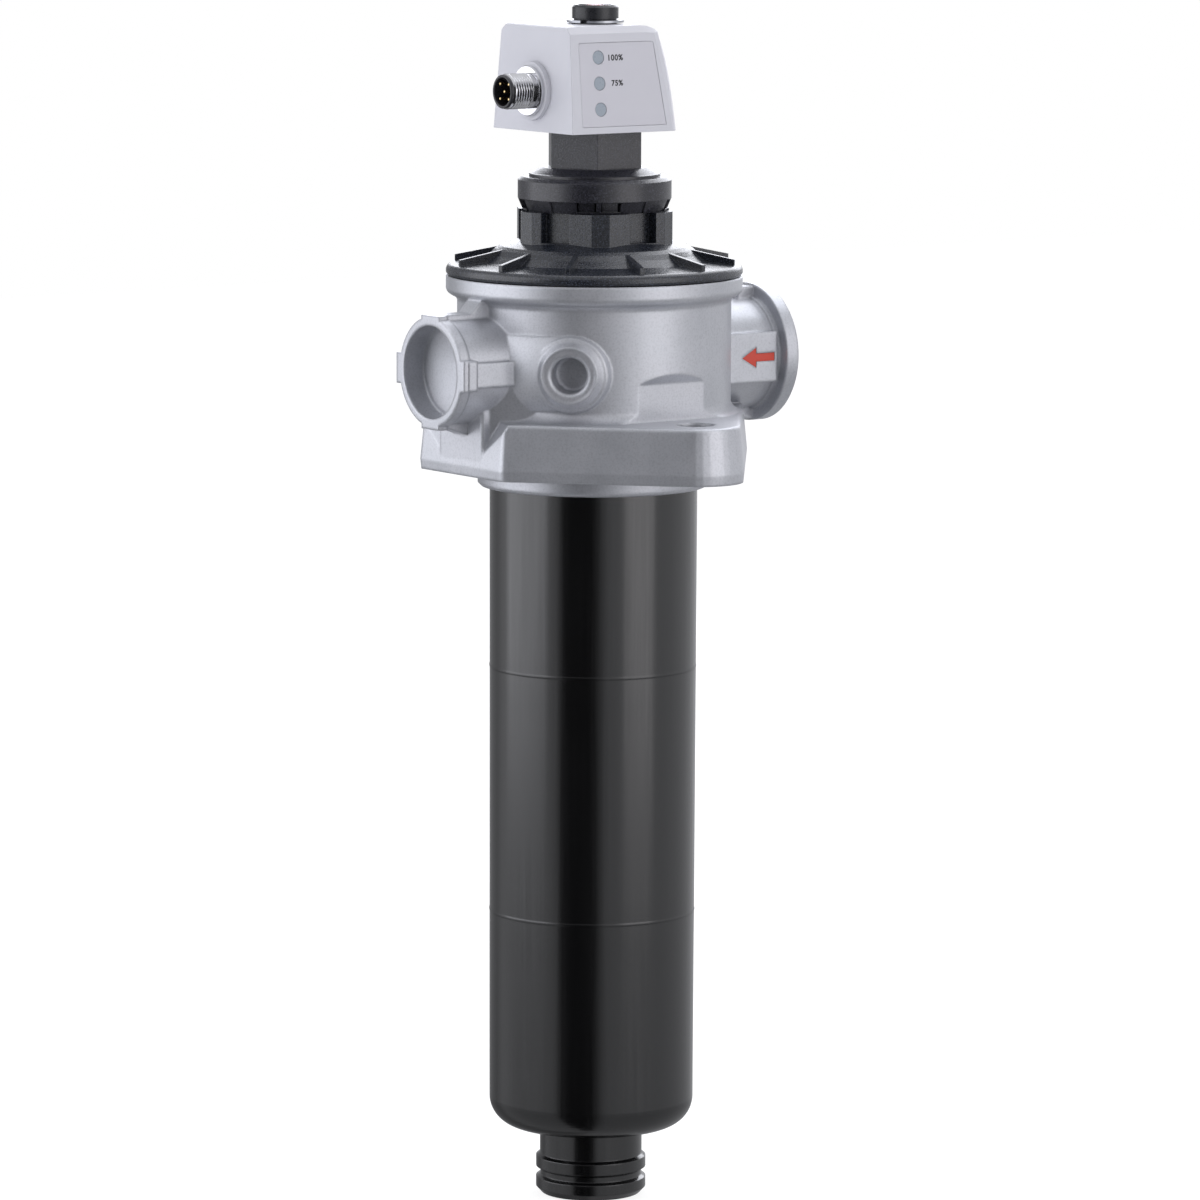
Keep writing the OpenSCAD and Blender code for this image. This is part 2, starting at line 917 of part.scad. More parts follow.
// snap tabs behind the windows
module snap_tabs() {
  for (i = [0 : 3])
    for (s = [0, 1])
      rotate([0, 0, -120 + 90 * i])
        mirror([0, s, 0])
          rotate([0, 0, 3])
            rotate_extrude(angle = 13.6)
              polygon([
                [ring_r - 4.4, drive_top], [ring_r - 3.1, drive_top],
                [ring_r - 2.3, ring_z], [ring_r - 3.6, ring_z]
              ]);
}

module indicator_adapter() {
  color("#2b2c30")
    rotate([0, 0, adapter_turn])
      difference() {
        union() {
          difference() {
            rotate_extrude()
              adapter_outline();
            skirt_windows();
          }
          snap_tabs();
          adapter_hexagon();
          moved(hex_top - 1)
            cylinder(h = spindle_top - hex_top + 1, r = spindle_r);
        }
        // piston bore
        moved(rim_top - 6)
          cylinder(h = spring_top - rim_top + 6, r = piston_bore_r);
        // rod bore
        moved(spring_top - 1)
          cylinder(h = 20, r = rod_r + 0.3);
        // room for the magnet and the button
        moved(hex_top + 1.2)
          cylinder(h = 60, r = spindle_bore_r);
        // groove for the retaining ring
        moved(box_top + 0.4)
          difference() {
            cylinder(h = clip_t + 0.1, r = spindle_r + 1);
            moved(-1)
              cylinder(h = 4, r = spindle_r - 0.6);
          }
      }
}

module adapter_seal() {
  color("#202124")
    ring(adapter_stem_r - 1, 1, drive_top - 4);
}

module piston_retainer() {
  color("#c9a24a")
    moved(rim_top - 4.2)
      difference() {
        cylinder(h = 2, r = piston_bore_r - 0.03);
        moved(-1)
          cylinder(h = 4, r = 3.5);
      }
}

module indicator_piston() {
  color("#b9bcc2") {
    moved(piston_z)
      difference() {
        cylinder(h = piston_top - piston_z, r = piston_r);
        moved(-1)
          cylinder(h = (piston_top - piston_z) / 2 + 1, r = piston_r - 1.6);
      }
    moved(piston_top - 1)
      cylinder(h = button_top - 4 - piston_top + 1, r = rod_r);
  }
}

module indicator_spring() {
  color("#8d9096")
    coil_spring(4.6, 0.55, piston_top, spring_top, 7);
}

module piston_magnet() {
  color("#3a3c40")
    moved(hex_top + 12)
      difference() {
        cylinder(h = 6, r = spindle_bore_r - 0.2);
        moved(-1)
          cylinder(h = 8, r = rod_r + 0.05);
      }
}

module red_button() {
  dome_h = window_h / 2;
  dome_r = (button_r * button_r + dome_h * dome_h) / 2 / dome_h;
  color("#c2201c")
    difference() {
      union() {
        moved(button_top - dome_h - 5.5)
          cylinder(h = 5.5, r = button_r);
        intersection() {
          moved(button_top - dome_h - 1)
            cylinder(h = 4, r = button_r);
          moved(button_top - dome_r)
            sphere(r = dome_r);
        }
      }
      moved(button_top - dome_h - 6.5)
        cylinder(h = 6.5 - 4 + dome_h + e, r = rod_r + 0.05);
    }
}

module indicator_cap() {
  color("#18191b")
    moved(spindle_top)
      rotate_extrude()
        difference() {
          square([spindle_r + 0.55, 4.5]);
          translate([-1, -1])
            square([button_r + 0.4 + 1, 7]);
          translate([-1, 4])
            square([window_r + 0.05 + 1, 2]);
          translate([spindle_r + 0.55, 3.8])
            rotate(45)
              square(3);
        }
}

module indicator_window() {
  dome_r = (window_r * window_r + window_h * window_h) / 2 / window_h;
  color([0.9, 0.95, 1, 0.35]) {
    moved(cap_top - 0.5)
      difference() {
        cylinder(h = 0.5, r = window_r);
        moved(-1)
          cylinder(h = 3, r = button_r + 0.5);
      }
    difference() {
      intersection() {
        moved(cap_top - 0.05)
          cylinder(h = window_h + 1, r = window_r + 1);
        moved(cap_top + window_h - dome_r)
          sphere(r = dome_r);
      }
      moved(cap_top + window_h - dome_r)
        sphere(r = dome_r - window_t);
    }
  }
}

module retaining_ring() {
  color("#8d9096")
    rotate([0, 0, -150])
      difference() {
        moved(box_top + 0.45)
          cylinder(h = clip_t, r = spindle_r + 2.35);
        moved(box_top)
          cylinder(h = 4, r = spindle_r - 0.5);
        translate([0, -1.2, box_top])
          cube([20, 2.4, 4]);
      }
}

// side view of the box: the inlet side is sloped, its top edge is round
module box_side(inset = 0) {
  slope = 4.9 / 32.9;
  n = norm([1, slope]);
  r = edge_r;
  cz = box_top - r;
  cx = east_b - (cz - box_z) * slope - r * n;
  difference() {
    union() {
      polygon([
        [west_b + inset, box_z - 1], [east_b - inset + slope, box_z - 1],
        [cx + (r - inset) / n, cz + (r - inset) * slope / n],
        [cx, box_top - inset], [west_b + 2.2 + inset, box_top - inset],
        [west_b + 1.3 + inset, box_top - 0.4 - inset], [west_b + 0.95 + inset, box_top - 1.3 - inset]
      ]);
      translate([cx, cz])
        circle(r = r - inset + 0.02);
    }
    translate([-60, box_z - 10])
      square([120, 10]);
  }
}

// front view of the box: both faces lean inwards, top edges bevelled
module box_front(inset = 0) {
  s = tan(lean);
  t = box_top - inset;
  y = box_y - inset / cos(lean);
  b = 2.3;
  polygon([
    [-y, box_z], [y, box_z], [y - (box_h - b) * s, t - b], [y - (box_h - b) * s - b, t],
    [-y + (box_h - b) * s + b, t], [-y + (box_h - b) * s, t - b]
  ]);
}

// bevels the two upright edges on the inlet side, as wide as those of the top
module upright_bevels(inset = 0) {
  for (side = [0, 1])
    mirror([0, side, 0])
      translate([east_b - inset - 2.3, inset - box_y, box_z])
        rotate([0, 0, -45])
          rotate([0, -9.88, 0])
            translate([0, -40, -50])
              cube([60, 80, 120]);
}

module box_block(inset = 0) {
  difference() {
    intersection() {
      slab_y(80)
        box_side(inset);
      slab_x(-40, 40)
        box_front(inset);
    }
    upright_bevels(inset);
  }
}

// frame on the leaning front face: x as it is, z up the face, y inwards
module on_front() {
  translate([0, -box_y, box_z])
    rotate([-lean, 0, 0])
      translate([0, 0, -box_z])
        children();
}

module panel_outline(shrink = 0) {
  polygon([
    [-21.1 + shrink, box_z + 2.2 + shrink], [13.1 - shrink, box_z + 2.2 + shrink],
    [9.4 - shrink, box_z + box_h - 5.6], [8.7 - shrink, box_z + box_h - 5 - shrink],
    [-20.6 + shrink, box_z + box_h - 5 - shrink], [-21.1 + shrink, box_z + box_h - 5.5 - shrink]
  ]);
}

module at_leds() {
  for (i = [0 : 2])
    translate([-13.3, 0, box_z + 8 + 8.6 * i])
      rotate([-90, 0, 0])
        children();
}

module board_posts() {
  for (p = [[-18, 6], [8, 6], [-18, 27.5], [4.5, 27.5]])
    translate([p[0], -box_y + 1.5, box_z + p[1]])
      rotate([-90, 0, 0])
        cylinder(h = 4.5, r = 1.5);
}

module switch_housing() {
  color("#d5d7dd")
    difference() {
      union() {
        difference() {
          box_block();
          difference() {
            box_block(box_wall);
            moved(box_z - 10)
              cylinder(h = 60, r = spindle_r + 2);
          }
          // open bottom for the base plate
          difference() {
            translate([west_b + box_wall, -box_y + box_wall + 0.2, box_z - 1])
              cube([east_b - west_b - 2 * box_wall - 0.4, 2 * (box_y - box_wall - 0.2), 3.1]);
            upright_bevels(box_wall + 0.2);
          }
        }
        // collar for the plug connector
        towards_west(plug_z)
          moved(-west_b - 2.6)
            cylinder(h = 3.9, r = 9.8);
        board_posts();
      }
      // spindle bore
      moved(box_z - 1)
        cylinder(h = box_h + 2, r = spindle_r + 0.09);
      // hole for the plug connector
      towards_west(plug_z)
        moved(15)
          cylinder(h = 20, r = plug_neck_r + 0.07);
      on_front() {
        // recess for the front film
        translate([0, -0.7, 0])
          slab_y(2.1)
            panel_outline();
        at_leds()
          moved(-1)
            cylinder(h = box_wall + 3, r = led_r);
      }
    }
}

module housing_base() {
  color("#c9ccd3")
    difference() {
      translate([west_b + box_wall + 0.1, -box_y + box_wall + 0.3, box_z])
        cube([east_b - west_b - 2 * box_wall - 0.6, 2 * (box_y - box_wall - 0.3), 2]);
      upright_bevels(box_wall + 0.3);
      moved(box_z - 1)
        cylinder(h = 4, r = spindle_r + 0.09);
    }
}

module label_panel() {
  color("#c4c8d0")
    on_front()
      difference() {
        translate([0, 0.225, 0])
          slab_y(0.25)
            panel_outline(0.08);
        at_leds()
          moved(-1)
            cylinder(h = 4, r = led_r);
      }
}

module led_windows() {
  color("#8e99a3")
    on_front()
      at_leds()
        moved(0.2)
          cylinder(h = box_wall + 0.4, r = led_r - 0.08);
}

module circuit_board() {
  color("#1f5a3c")
    translate([board_x, board_y, board_z])
      cube([board_w, board_t, board_h]);
}

module reed_switches() {
  back = board_y + board_t;
  wire_l = reed_l + 4.6;
  color("#b9c7c0")
    for (x = [-3.5, 3.5]) {
      translate([x, back + 1.15, board_z + 5])
        cylinder(h = reed_l, r = 1.1);
      for (z = [3, wire_l + 2.4])
        translate([x, back + 0.02, board_z + z])
          rotate([-90, 0, 0])
            cylinder(h = 1.4, r = 0.35);
      translate([x, back + 1.15, board_z + 2.7])
        cylinder(h = wire_l, r = 0.35);
    }
}

module connector_shell() {
  color("#c8c4b8")
    towards_west(plug_z)
      difference() {
        union() {
          rotate_extrude()
            polygon([
              [0, 20], [plug_neck_r, 20], [plug_neck_r, 26.62], [plug_r + 2.4, 26.62],
              [plug_r + 2.4, 27.72], [plug_r + 2.1, 28.02], [plug_r, 28.02],
              [plug_r, plug_end - 1.5], [plug_r - 0.2, plug_end - 1.1], [0, plug_end - 1.1]
            ]);
          // nut inside the box
          moved(19.9)
            cylinder(h = 2.4, r = plug_r + 2.2, $fn = 6);
        }
        moved(19)
          cylinder(h = 20, r = plug_r - 0.62);
      }
}

module connector_insert() {
  color("#1b1c1e")
    towards_west(plug_z)
      difference() {
        rotate_extrude()
          polygon([
            [0, 20], [plug_r - 0.67, 20], [plug_r - 0.67, plug_end - 1.05],
            [plug_r - 0.4, plug_end - 1.05], [plug_r - 0.4, plug_end - 0.2],
            [plug_r - 0.6, plug_end], [plug_r - 1.2, plug_end],
            [plug_r - 1.35, plug_end - 0.2], [plug_r - 1.35, plug_end - 8.3],
            [0, plug_end - 8.3]
          ]);
        plug_pins(19.5, 12, pin_r + 0.02);
      }
}

module plug_pins(x, length, r) {
  moved(x)
    cylinder(h = length, r = r, $fn = 24);
  for (i = [0 : 3])
    rotate([0, 0, 45 + 90 * i])
      translate([2.5, 0, x])
        cylinder(h = length, r = r, $fn = 24);
}

module contact_pins() {
  color("#c9a24a")
    towards_west(plug_z)
      plug_pins(18, plug_end - 18.8, pin_r);
}

filter_head();
flow_arrow();
tank_seal();
filter_bowl();
bowl_seal();
element_bottom_cap();
element_seal();
pleated_media();
support_core();
element_top_cap();
bypass_cage();
bypass_poppet();
bypass_spring();
screw_cover();
cover_seal();
indicator_adapter();
adapter_seal();
piston_retainer();
indicator_piston();
indicator_spring();
piston_magnet();
red_button();
indicator_cap();
indicator_window();
retaining_ring();
switch_housing();
housing_base();
label_panel();
led_windows();
circuit_board();
reed_switches();
connector_shell();
connector_insert();
contact_pins();
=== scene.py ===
import json
import math

import bmesh
import bpy
from mathutils import Matrix, Vector


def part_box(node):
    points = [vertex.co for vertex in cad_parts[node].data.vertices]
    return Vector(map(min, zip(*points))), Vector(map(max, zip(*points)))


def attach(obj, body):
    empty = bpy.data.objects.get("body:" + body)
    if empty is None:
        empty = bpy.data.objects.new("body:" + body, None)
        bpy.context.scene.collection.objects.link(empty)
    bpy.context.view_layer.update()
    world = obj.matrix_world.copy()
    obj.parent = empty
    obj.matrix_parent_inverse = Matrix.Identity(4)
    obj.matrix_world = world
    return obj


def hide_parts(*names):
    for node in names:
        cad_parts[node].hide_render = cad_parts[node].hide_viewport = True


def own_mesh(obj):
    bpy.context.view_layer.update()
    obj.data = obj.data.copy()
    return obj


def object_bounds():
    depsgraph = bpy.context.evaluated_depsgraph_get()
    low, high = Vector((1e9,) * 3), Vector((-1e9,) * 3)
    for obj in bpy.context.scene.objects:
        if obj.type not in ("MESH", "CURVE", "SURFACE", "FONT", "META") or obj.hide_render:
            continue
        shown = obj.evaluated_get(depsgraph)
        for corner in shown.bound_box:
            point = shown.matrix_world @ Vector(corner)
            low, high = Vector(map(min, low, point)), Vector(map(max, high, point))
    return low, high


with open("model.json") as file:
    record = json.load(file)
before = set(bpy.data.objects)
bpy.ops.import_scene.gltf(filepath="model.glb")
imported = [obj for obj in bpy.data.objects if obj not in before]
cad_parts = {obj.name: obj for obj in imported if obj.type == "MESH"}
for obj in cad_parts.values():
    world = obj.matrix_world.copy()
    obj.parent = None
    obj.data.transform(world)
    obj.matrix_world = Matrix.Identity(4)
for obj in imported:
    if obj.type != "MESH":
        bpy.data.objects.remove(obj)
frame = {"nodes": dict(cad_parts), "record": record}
nodes = frame["nodes"]
cad_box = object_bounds()
scene = bpy.context.scene

MM = 0.001
PHOTO_WIDTH = 1200          # pixels, for the camera's shift


# Colours and nodes

def paint(code):
    """An sRGB hex colour as a linear one."""
    values = [int(code[i:i + 2], 16) / 255 for i in (1, 3, 5)]
    return (*[v / 12.92 if v <= 0.04045 else ((v + 0.055) / 1.055) ** 2.4 for v in values], 1.0)


def add(tree, kind, inputs=None, **settings):
    """Adds a node to the tree, sets it up and fills or links its inputs."""
    node = tree.nodes.new(kind)
    for name, value in settings.items():
        setattr(node, name, value)
    for name, value in (inputs or {}).items():
        if isinstance(value, bpy.types.NodeSocket):
            tree.links.new(value, node.inputs[name])
        else:
            node.inputs[name].default_value = value
    return node


def surface(name, **values):
    """A new material with its tree, its shader and the object's own coordinates in metres."""
    material = bpy.data.materials.new(name)
    material.use_nodes = True
    tree = material.node_tree
    tree.nodes.clear()
    shader = add(tree, "ShaderNodeBsdfPrincipled", values)
    add(tree, "ShaderNodeOutputMaterial", {"Surface": shader.outputs[0]})
    where = add(tree, "ShaderNodeTexCoord").outputs["Object"]
    return material, tree, shader, where


def finish_with(tree, shader, colour, rough, bump):
    """Links the three patterned values to the shader."""
    tree.links.new(colour.outputs[2], shader.inputs["Base Color"])
    tree.links.new(rough.outputs["Result"], shader.inputs["Roughness"])
    tree.links.new(bump.outputs["Normal"], shader.inputs["Normal"])


# Materials

def cast_aluminium():
    """Die-cast aluminium, shot blasted: a peened satin skin that scatters light, soft edges."""
    material, tree, shader, where = surface(
        "cast_aluminium", Metallic=0.78, Roughness=0.43, **{"Base Color": paint("#c4c5ca")})
    # sandy skin, 0.3 mm grit drawn at 0.7 mm so that it shows
    grit = add(tree, "ShaderNodeTexNoise", {"Vector": where, "Scale": 1000 / 0.7, "Detail": 3.0,
                                            "Roughness": 0.6})
    # cloudy tone left by the blasting, patches of 20 mm
    cloud = add(tree, "ShaderNodeTexNoise", {"Vector": where, "Scale": 1000 / 20, "Detail": 3.0,
                                             "Roughness": 0.5})
    tone = add(tree, "ShaderNodeMapRange", {"Value": cloud.outputs["Fac"],
                                            "From Min": 0.3, "From Max": 0.7})
    metal = add(tree, "ShaderNodeMix", {"Factor": tone.outputs["Result"],
                                        6: paint("#bdbfc4"), 7: paint("#c8c9ce")},
                data_type="RGBA")
    speck = add(tree, "ShaderNodeMapRange", {"Value": grit.outputs["Fac"], "From Min": 0.25,
                                             "From Max": 0.55, "To Min": 0.35, "To Max": 0.0})
    colour = add(tree, "ShaderNodeMix", {"Factor": speck.outputs["Result"],
                                         6: metal.outputs[2], 7: paint("#909297")},
                 data_type="RGBA")
    rough = add(tree, "ShaderNodeMapRange", {"Value": cloud.outputs["Fac"], "From Min": 0.3,
                                             "From Max": 0.7, "To Min": 0.39, "To Max": 0.46})
    soft = add(tree, "ShaderNodeBevel", {"Radius": 1.4 * MM}, samples=6)
    bump = add(tree, "ShaderNodeBump", {"Strength": 0.16, "Distance": 0.1 * MM,
                                        "Height": grit.outputs["Fac"],
                                        "Normal": soft.outputs["Normal"]})
    finish_with(tree, shader, colour, rough, bump)
    return material


def moulded_nylon(name, low, high, rough, grain_mm, depth, gloss):
    """Black glass-filled nylon from an eroded mould: a grain that sparkles where fibres lie, the
    sparkle painted into its colour as pale glints.
    """
    material, tree, shader, where = surface(
        name, Roughness=rough, IOR=gloss, **{"Base Color": paint(low)})
    grain = add(tree, "ShaderNodeTexNoise", {"Vector": where, "Scale": 1000 / grain_mm,
                                             "Detail": 4.0, "Roughness": 0.7})
    # glass fibres at the skin, 0.02 mm thick, drawn as pale flecks 0.4 mm wide so that they show;
    # the flecks are also painted glints, lighter on the grain's crests
    fleck = add(tree, "ShaderNodeTexNoise", {"Vector": where, "Scale": 1000 / 0.4, "Detail": 1.0})
    shine = add(tree, "ShaderNodeMapRange", {"Value": fleck.outputs["Fac"],
                                             "From Min": 0.52, "From Max": 0.76})
    light = add(tree, "ShaderNodeMath", {0: shine.outputs["Result"], 1: grain.outputs["Fac"]},
                operation="MULTIPLY")
    tone = add(tree, "ShaderNodeMix", {"Factor": light.outputs[0], 6: paint(low), 7: paint(high)},
               data_type="RGBA")
    spread = add(tree, "ShaderNodeMapRange", {"Value": grain.outputs["Fac"], "From Min": 0.3,
                                              "From Max": 0.7, "To Min": rough - 0.1,
                                              "To Max": rough + 0.08})
    soft = add(tree, "ShaderNodeBevel", {"Radius": 0.4 * MM}, samples=4)
    bump = add(tree, "ShaderNodeBump", {"Strength": 0.6, "Distance": depth * MM,
                                        "Height": grain.outputs["Fac"],
                                        "Normal": soft.outputs["Normal"]})
    finish_with(tree, shader, tone, spread, bump)
    return material


def drawn_polypropylene():
    """Black polypropylene drawn off a polished core: glossy, with fine streaks along its length."""
    material, tree, shader, where = surface(
        "drawn_polypropylene", Roughness=0.2, IOR=1.72, **{"Base Color": paint("#060607")})
    # streaks 0.9 mm wide and 60 mm long
    stretched = add(tree, "ShaderNodeMapping", {"Vector": where, "Scale": (1.0, 1.0, 0.9 / 60)})
    streak = add(tree, "ShaderNodeTexNoise", {"Vector": stretched.outputs["Vector"],
                                              "Scale": 1000 / 0.9, "Detail": 3.0,
                                              "Roughness": 0.6})
    # cloudy depth of the black, patches of 30 mm
    cloud = add(tree, "ShaderNodeTexNoise", {"Vector": where, "Scale": 1000 / 30, "Detail": 3.0})
    rough = add(tree, "ShaderNodeMapRange", {"Value": streak.outputs["Fac"], "From Min": 0.3,
                                             "From Max": 0.7, "To Min": 0.16, "To Max": 0.25})
    tone = add(tree, "ShaderNodeMix", {"Factor": cloud.outputs["Fac"],
                                       6: paint("#040405"), 7: paint("#080809")},
               data_type="RGBA")
    soft = add(tree, "ShaderNodeBevel", {"Radius": 0.5 * MM}, samples=4)
    bump = add(tree, "ShaderNodeBump", {"Strength": 0.12, "Distance": 0.05 * MM,
                                        "Height": streak.outputs["Fac"],
                                        "Normal": soft.outputs["Normal"]})
    finish_with(tree, shader, tone, rough, bump)
    return material


def turned_metal(name, low, high, rough, axis, step_mm):
    """Metal turned on a lathe or drawn: fine rings round the axis, each catching the light."""
    material, tree, shader, where = surface(
        name, Metallic=1.0, Roughness=rough, **{"Base Color": paint(high)})
    along = add(tree, "ShaderNodeSeparateXYZ", {"Vector": where})
    lines = add(tree, "ShaderNodeTexNoise", {"W": along.outputs[axis], "Scale": 1000 / step_mm,
                                             "Detail": 2.0}, noise_dimensions="1D")
    tone = add(tree, "ShaderNodeMix", {"Factor": lines.outputs["Fac"],
                                       6: paint(low), 7: paint(high)}, data_type="RGBA")
    spread = add(tree, "ShaderNodeMapRange", {"Value": lines.outputs["Fac"], "From Min": 0.3,
                                              "From Max": 0.7, "To Min": max(rough - 0.06, 0.04),
                                              "To Max": rough + 0.06})
    bump = add(tree, "ShaderNodeBump", {"Strength": 0.1, "Distance": 0.03 * MM,
                                        "Height": lines.outputs["Fac"]})
    finish_with(tree, shader, tone, spread, bump)
    return material


def plain_moulding(name, low, high, rough, grain_mm=0.9, depth=0.02, **values):
    """Small smooth mouldings and paints: an even skin with a trace of flow in it."""
    material, tree, shader, where = surface(
        name, Roughness=rough, **{"Base Color": paint(low)}, **values)
    # marks of the flow, twelve grains long
    flow = add(tree, "ShaderNodeTexNoise", {"Vector": where, "Scale": 1000 / (grain_mm * 12),
                                            "Detail": 3.0})
    grain = add(tree, "ShaderNodeTexNoise", {"Vector": where, "Scale": 1000 / grain_mm,
                                             "Detail": 2.0})
    tone = add(tree, "ShaderNodeMix", {"Factor": flow.outputs["Fac"],
                                       6: paint(low), 7: paint(high)}, data_type="RGBA")
    spread = add(tree, "ShaderNodeMapRange", {"Value": grain.outputs["Fac"], "From Min": 0.3,
                                              "From Max": 0.7, "To Min": max(rough - 0.05, 0.02),
                                              "To Max": rough + 0.05})
    soft = add(tree, "ShaderNodeBevel", {"Radius": 0.3 * MM}, samples=4)
    bump = add(tree, "ShaderNodeBump", {"Strength": 0.15, "Distance": depth * MM,
                                        "Height": grain.outputs["Fac"],
                                        "Normal": soft.outputs["Normal"]})
    finish_with(tree, shader, tone, spread, bump)
    return material


def glass_fleece():
    """Pleated glass fibre fleece: off-white, fibrous, no gloss."""
    material, tree, shader, where = surface(
        "glass_fleece", Roughness=0.95, **{"Base Color": paint("#e6e1d2")})
    # matted fibres, 0.01 mm thick, drawn as tufts of 0.6 mm
    fibre = add(tree, "ShaderNodeTexNoise", {"Vector": where, "Scale": 1000 / 0.6, "Detail": 5.0,
                                             "Distortion": 1.5})
    tone = add(tree, "ShaderNodeMix", {"Factor": fibre.outputs["Fac"],
                                       6: paint("#d3cdbb"), 7: paint("#f1ede1")},
               data_type="RGBA")
    rough = add(tree, "ShaderNodeMapRange", {"Value": fibre.outputs["Fac"],
                                             "To Min": 0.85, "To Max": 1.0})
    bump = add(tree, "ShaderNodeBump", {"Strength": 0.5, "Distance": 0.1 * MM,
                                        "Height": fibre.outputs["Fac"]})
    finish_with(tree, shader, tone, rough, bump)
    return material


# by the record's material slot
finish = {
    "cast_aluminium": cast_aluminium(),
    # brushed into the cast arrow: dull, uneven
    "red_paint": plain_moulding("brushed_red_enamel", "#bd3a2a", "#cb4634", 0.5),
    # nitrile rubber, pressed: nearly black, no gloss
    "seal_rubber": plain_moulding("pressed_nitrile_rubber", "#17181a", "#222326", 0.6),
    "bowl_plastic": drawn_polypropylene(),
    # the cover's blue-black nylon has the coarser grain of the two
    "cover_plastic": moulded_nylon("cover_nylon", "#15181f", "#5c6273", 0.29, 0.6, 0.1, 1.64),
    "adapter_plastic": moulded_nylon("adapter_nylon", "#1c1c22", "#5a5a68", 0.32, 0.5, 0.06, 1.6),
    # undyed nylon: warm off-white
    "element_plastic": plain_moulding("undyed_nylon", "#cfcabd", "#dcd8cd", 0.4),
    "filter_media": glass_fleece(),
    # grey polypropylene, moulded: waxy
    "core_plastic": plain_moulding("grey_polypropylene", "#8d8f94", "#9b9da2", 0.45),
    "brass": turned_metal("turned_brass", "#a8863a", "#cfae62", 0.3, "Z", 0.3),
    "spring_steel": turned_metal("drawn_spring_steel", "#9c9ea3", "#c2c4c9", 0.26, "Z", 0.5),
    "piston_metal": turned_metal("turned_aluminium", "#a4a7ad", "#c6c9ce", 0.3, "Z", 0.3),
    # sintered and ground: dark, metallic, dull
    "magnet": plain_moulding("sintered_magnet", "#35373b", "#45474c", 0.55, Metallic=1.0),
    # polished moulds: saturated red, satin black, clear
    "red_plastic": plain_moulding("red_acetal", "#b81812", "#cc2a20", 0.25),
    "cap_plastic": plain_moulding("black_acetal", "#1a1b1e", "#26272b", 0.3),
    "clear_plastic": plain_moulding("clear_polycarbonate", "#f2f4f6", "#fbfcfd", 0.04, IOR=1.58,
                                    **{"Transmission Weight": 1.0}),
    # light grey ABS from a finely eroded mould: an even, soft sheen
    "box_plastic": plain_moulding("moulded_abs", "#c5c5cb", "#cacad0", 0.45, depth=0.03),
    # printed film, matt against glare
    "label_film": plain_moulding("polyester_film", "#c1c0c7", "#c6c5cb", 0.5, depth=0.015),
    # milky windows before unlit lamps: grey-blue
    "led_plastic": plain_moulding("milky_polycarbonate", "#8d96a0", "#969fa8", 0.3),
    "board": plain_moulding("solder_mask", "#1c5a3a", "#236545", 0.35),
    "reed_glass": plain_moulding("drawn_glass", "#b9c7c0", "#c9d4ce", 0.1,
                                 **{"Transmission Weight": 0.6}),
    # nickel and gold plate over turned brass: bright rings
    "nickel": turned_metal("nickel_plate", "#d6d6da", "#e6e6e8", 0.13, "X", 0.25),
    "insert_plastic": plain_moulding("contact_carrier_nylon", "#1e1d21", "#28272b", 0.34),
    "gold": turned_metal("gold_plate", "#d9b877", "#f0d9a4", 0.25, "X", 0.3),
}
ink = plain_moulding("screen_printed_ink", "#101013", "#17171b", 0.6)

slot_of = {part["node"]: part["material_slot"] for part in frame["record"]["subparts"]}
for name, node in nodes.items():
    node.data.materials.clear()
    node.data.materials.append(finish[slot_of[name]])


# Detailed pieces

def dress(name, data, slot, body, *replaced, material=None, place=Matrix()):
    """A detailed piece: gets its finish, rides on its body and hides the parts it replaces."""
    piece = bpy.data.objects.new(name, data)
    piece.matrix_world = place
    scene.collection.objects.link(piece)
    data.materials.clear()
    data.materials.append(material or finish[slot])
    if replaced:
        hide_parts(*replaced)
    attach(piece, body)
    return piece


def threaded_plug():
    """The plug connector's nickel-plated shell with its M12x1 thread, turned round the X axis."""
    low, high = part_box("connector_shell")
    centre_z = (low.z + high.z) / 2
    around, along = 72, 10                      # steps round the axis and in one pitch
    pitch, depth, crest, wall = 1.0, 0.42, 6.0, 0.62
    # distances from the filter's axis: inner end, collar, neck, thread
    back, collar, collar_end, neck_end, first, last = 20.0, 26.62, 28.02, 28.7, 28.9, 36.2
    collar_rise, chamfer, tip = 2.4, 0.3, 0.5
    bore = crest - wall
    rows = [(back, bore), (back, crest - 0.25), (collar, crest - 0.25),
            (collar, crest + collar_rise), (collar_end - chamfer, crest + collar_rise),
            (collar_end, crest + collar_rise - chamfer), (collar_end, crest - 0.3),
            (neck_end, crest - 0.3), (first, crest - 0.05)]
    rows += [(first + i * pitch / along, None)
             for i in range(1, int((last - first) * along / pitch))]
    rows += [(last, crest - 0.1), (last + tip, crest - tip), (last + tip, bore), (back, bore)]
    points = []
    for x, radius in rows:
        for k in range(around):
            turn = k / around
            r = radius
            if r is None:
                flank = abs((x / pitch + turn) % 1.0 * 2 - 1)
                fade = min(1.0, (x - first) / 0.3, (last - x) / 0.3)
                r = crest - 0.04 - depth * fade * min(1.0, flank * 1.25)
            angle = turn * math.tau
            points.append((-x * MM, r * MM * math.cos(angle), centre_z + r * MM * math.sin(angle)))
    faces = []
    for i in range(len(rows) - 1):
        here, there = i * around, (i + 1) * around
        for k in range(around):
            step = (k + 1) % around
            faces.append((here + k, there + k, there + step, here + step))
    mesh = bpy.data.meshes.new("threaded_plug_shell")
    mesh.from_pydata(points, [], faces)
    mesh.validate()
    return mesh


